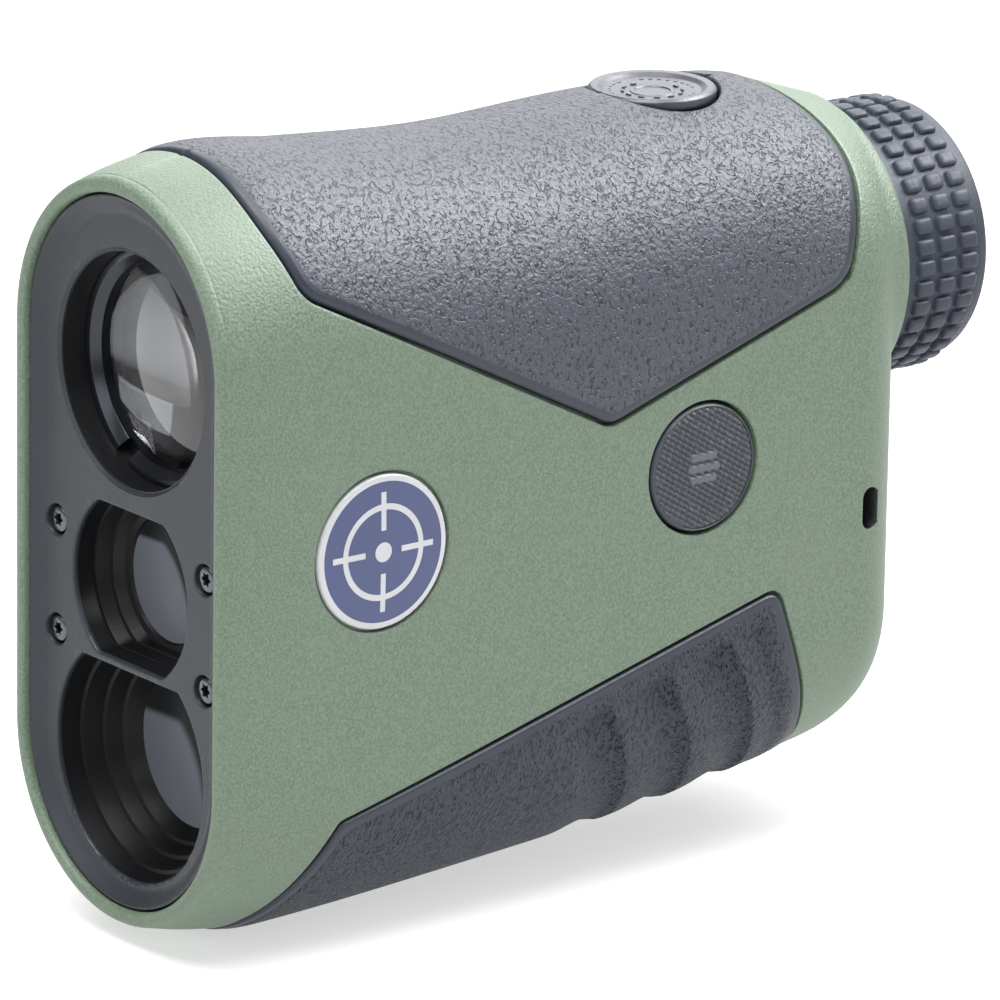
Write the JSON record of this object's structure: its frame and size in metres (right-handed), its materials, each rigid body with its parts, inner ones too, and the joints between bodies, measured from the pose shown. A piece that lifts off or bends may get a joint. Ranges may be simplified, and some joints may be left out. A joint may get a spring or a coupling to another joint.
{
  "type": "laser rangefinder",
  "caption": "Handheld laser rangefinder: stadium-fronted monocular body with stacked objective, emitter and receiver windows, rubber armour, press buttons and a dioptre eyepiece.",
  "frame": {"origin": "middle of the bounding box's base, level with the lowest point of the lower armour", "axes": "front of the instrument along -Y, eyepiece along +Y, up +Z, the mode button's side +X"},
  "size_m": [0.0362, 0.1006, 0.0798],
  "materials": {
    "green_shell": "satin moulded polymer with a fine grain",
    "charcoal_shell": "satin moulded polymer",
    "grey_rubber": "leather-grained rubber",
    "black_rubber": "matt moulded rubber",
    "black_plastic": "matt black",
    "black_metal": "black anodised",
    "coated_glass": "polished, anti-reflection coated",
    "board_green": "solder-masked laminate",
    "chip_black": "matt moulding compound",
    "plated_steel": "nickel plated",
    "contact_brass": "bright",
    "badge_blue": "printed disc under clear resin",
    "cell_blue": "printed sleeve"
  },
  "bodies": {
    "housing": {"case_left": "green_shell", "case_right": "green_shell", "front_rim": "green_shell", "front_bezel": "charcoal_shell", "top_armour": "grey_rubber", "lower_armour": "grey_rubber", "badge": "badge_blue", "bezel_screw_1": "black_metal", "bezel_screw_2": "black_metal", "bezel_screw_3": "black_metal", "bezel_screw_4": "black_metal", "case_screw_1": "black_metal", "case_screw_2": "black_metal", "case_screw_3": "black_metal", "case_screw_4": "black_metal", "objective_tube": "black_plastic", "objective_retaining_ring": "black_metal", "objective_lens": "coated_glass", "objective_seal": "black_rubber", "emitter_baffle": "black_plastic", "emitter_lens": "coated_glass", "laser_diode": "plated_steel", "emitter_board": "board_green", "receiver_baffle": "black_plastic", "receiver_lens": "coated_glass", "photodiode": "plated_steel", "receiver_board": "board_green", "optics_bulkhead": "black_plastic", "prism_housing": "black_plastic", "roof_prism": "coated_glass", "display_module": "chip_black", "eyepiece_barrel": "black_plastic", "main_board": "board_green", "processor": "chip_black", "side_board": "board_green", "mode_switch": "chip_black", "top_board": "board_green", "measure_switch": "chip_black", "battery_tube": "black_plastic", "battery": "cell_blue", "battery_spring": "plated_steel"},
    "measure_button": {"measure_button": "grey_rubber"},
    "mode_button": {"mode_button": "charcoal_shell"},
    "diopter_ring": {"diopter_ring": "black_plastic", "ring_grip": "black_rubber", "eyecup": "black_rubber"},
    "lens_carrier": {"lens_cell": "black_metal", "field_lens": "coated_glass", "eye_lens": "coated_glass", "cell_retainer": "black_metal"},
    "cap_carrier": {"cap_seal": "black_rubber"},
    "battery_cap": {"battery_cap": "charcoal_shell", "cap_contact": "contact_brass"}
  },
  "joints": [
    {"name": "measure_button_press", "type": "slide", "parent": "housing", "child": "measure_button", "axis": [0, 0, -1], "range_m": [0, 0.0006], "stiffness_N_per_m": 2000, "springref_m": -0.0003},
    {"name": "mode_button_press", "type": "slide", "parent": "housing", "child": "mode_button", "axis": [-1, 0, 0], "range_m": [0, 0.0005], "stiffness_N_per_m": 2000, "springref_m": -0.0003},
    {"name": "diopter_turn", "type": "hinge", "parent": "housing", "child": "diopter_ring", "pos_m": [0, 0.04335, 0.0578], "axis": [0, 1, 0], "range_deg": [-150, 150]},
    {"name": "diopter_focus", "type": "slide", "parent": "housing", "child": "lens_carrier", "axis": [0, 1, 0], "range_m": [-0.001, 0.001]},
    {"name": "battery_cap_lift", "type": "slide", "parent": "housing", "child": "cap_carrier", "axis": [0, 1, 0], "range_m": [0, 0.003]},
    {"name": "battery_cap_turn", "type": "hinge", "parent": "cap_carrier", "child": "battery_cap", "pos_m": [0, 0.03735, 0.02675], "axis": [0, 1, 0], "range_deg": [0, 1080]}
  ],
  "couplings": [
    {"joint": "diopter_focus", "follows": "diopter_turn", "m_per_rad": 0.00038},
    {"joint": "battery_cap_lift", "follows": "battery_cap_turn", "m_per_rad": 0.000159}
  ]
}
